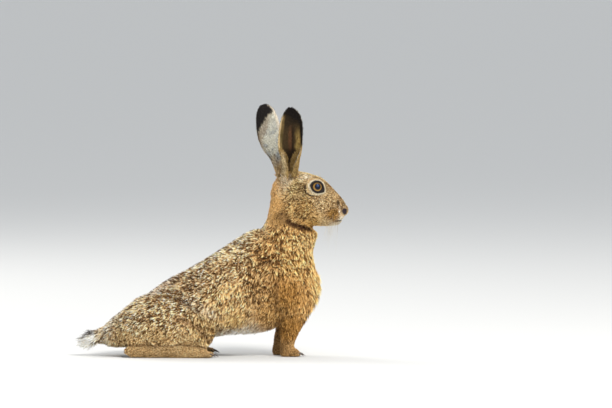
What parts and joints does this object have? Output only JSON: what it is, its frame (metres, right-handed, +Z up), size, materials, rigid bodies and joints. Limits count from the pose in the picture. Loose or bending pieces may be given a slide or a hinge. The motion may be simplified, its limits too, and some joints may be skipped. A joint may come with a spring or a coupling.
{
  "type": "brown hare model",
  "caption": "Life-size still model of a brown hare sitting upright on its haunches, alert, with both long ears raised.",
  "frame": {"origin": "on the ground, under the middle of the animal's overall box", "axes": "+X towards the nose, along the body; +Y to the animal's left; +Z up"},
  "size_m": [0.4576, 0.1468, 0.4285],
  "materials": {
    "coat": "short buff fur ticked with black",
    "nape": "plain rufous fur",
    "ear": "very short fur, black at the tip",
    "tail": "long soft white fur, black above",
    "foot": "short warm tan fur",
    "eye": "wet gloss, dark pupil in an amber ring",
    "claw": "satin horn"
  },
  "bodies": {
    "root": {"torso": "coat", "neck": "nape", "head": "coat", "ear_left": "ear", "ear_right": "ear", "eye_left": "eye", "eye_right": "eye", "tail": "tail", "foreleg_left": "foot", "foreleg_right": "foot", "haunch_left": "coat", "haunch_right": "coat", "hind_foot_left": "foot", "hind_foot_right": "foot", "claw_01": "claw", "claw_02": "claw", "claw_03": "claw", "claw_04": "claw", "claw_05": "claw", "claw_06": "claw", "claw_07": "claw", "claw_08": "claw", "claw_09": "claw", "claw_10": "claw", "claw_11": "claw", "claw_12": "claw", "claw_13": "claw", "claw_14": "claw", "claw_15": "claw", "claw_16": "claw"}
  },
  "joints": []
}
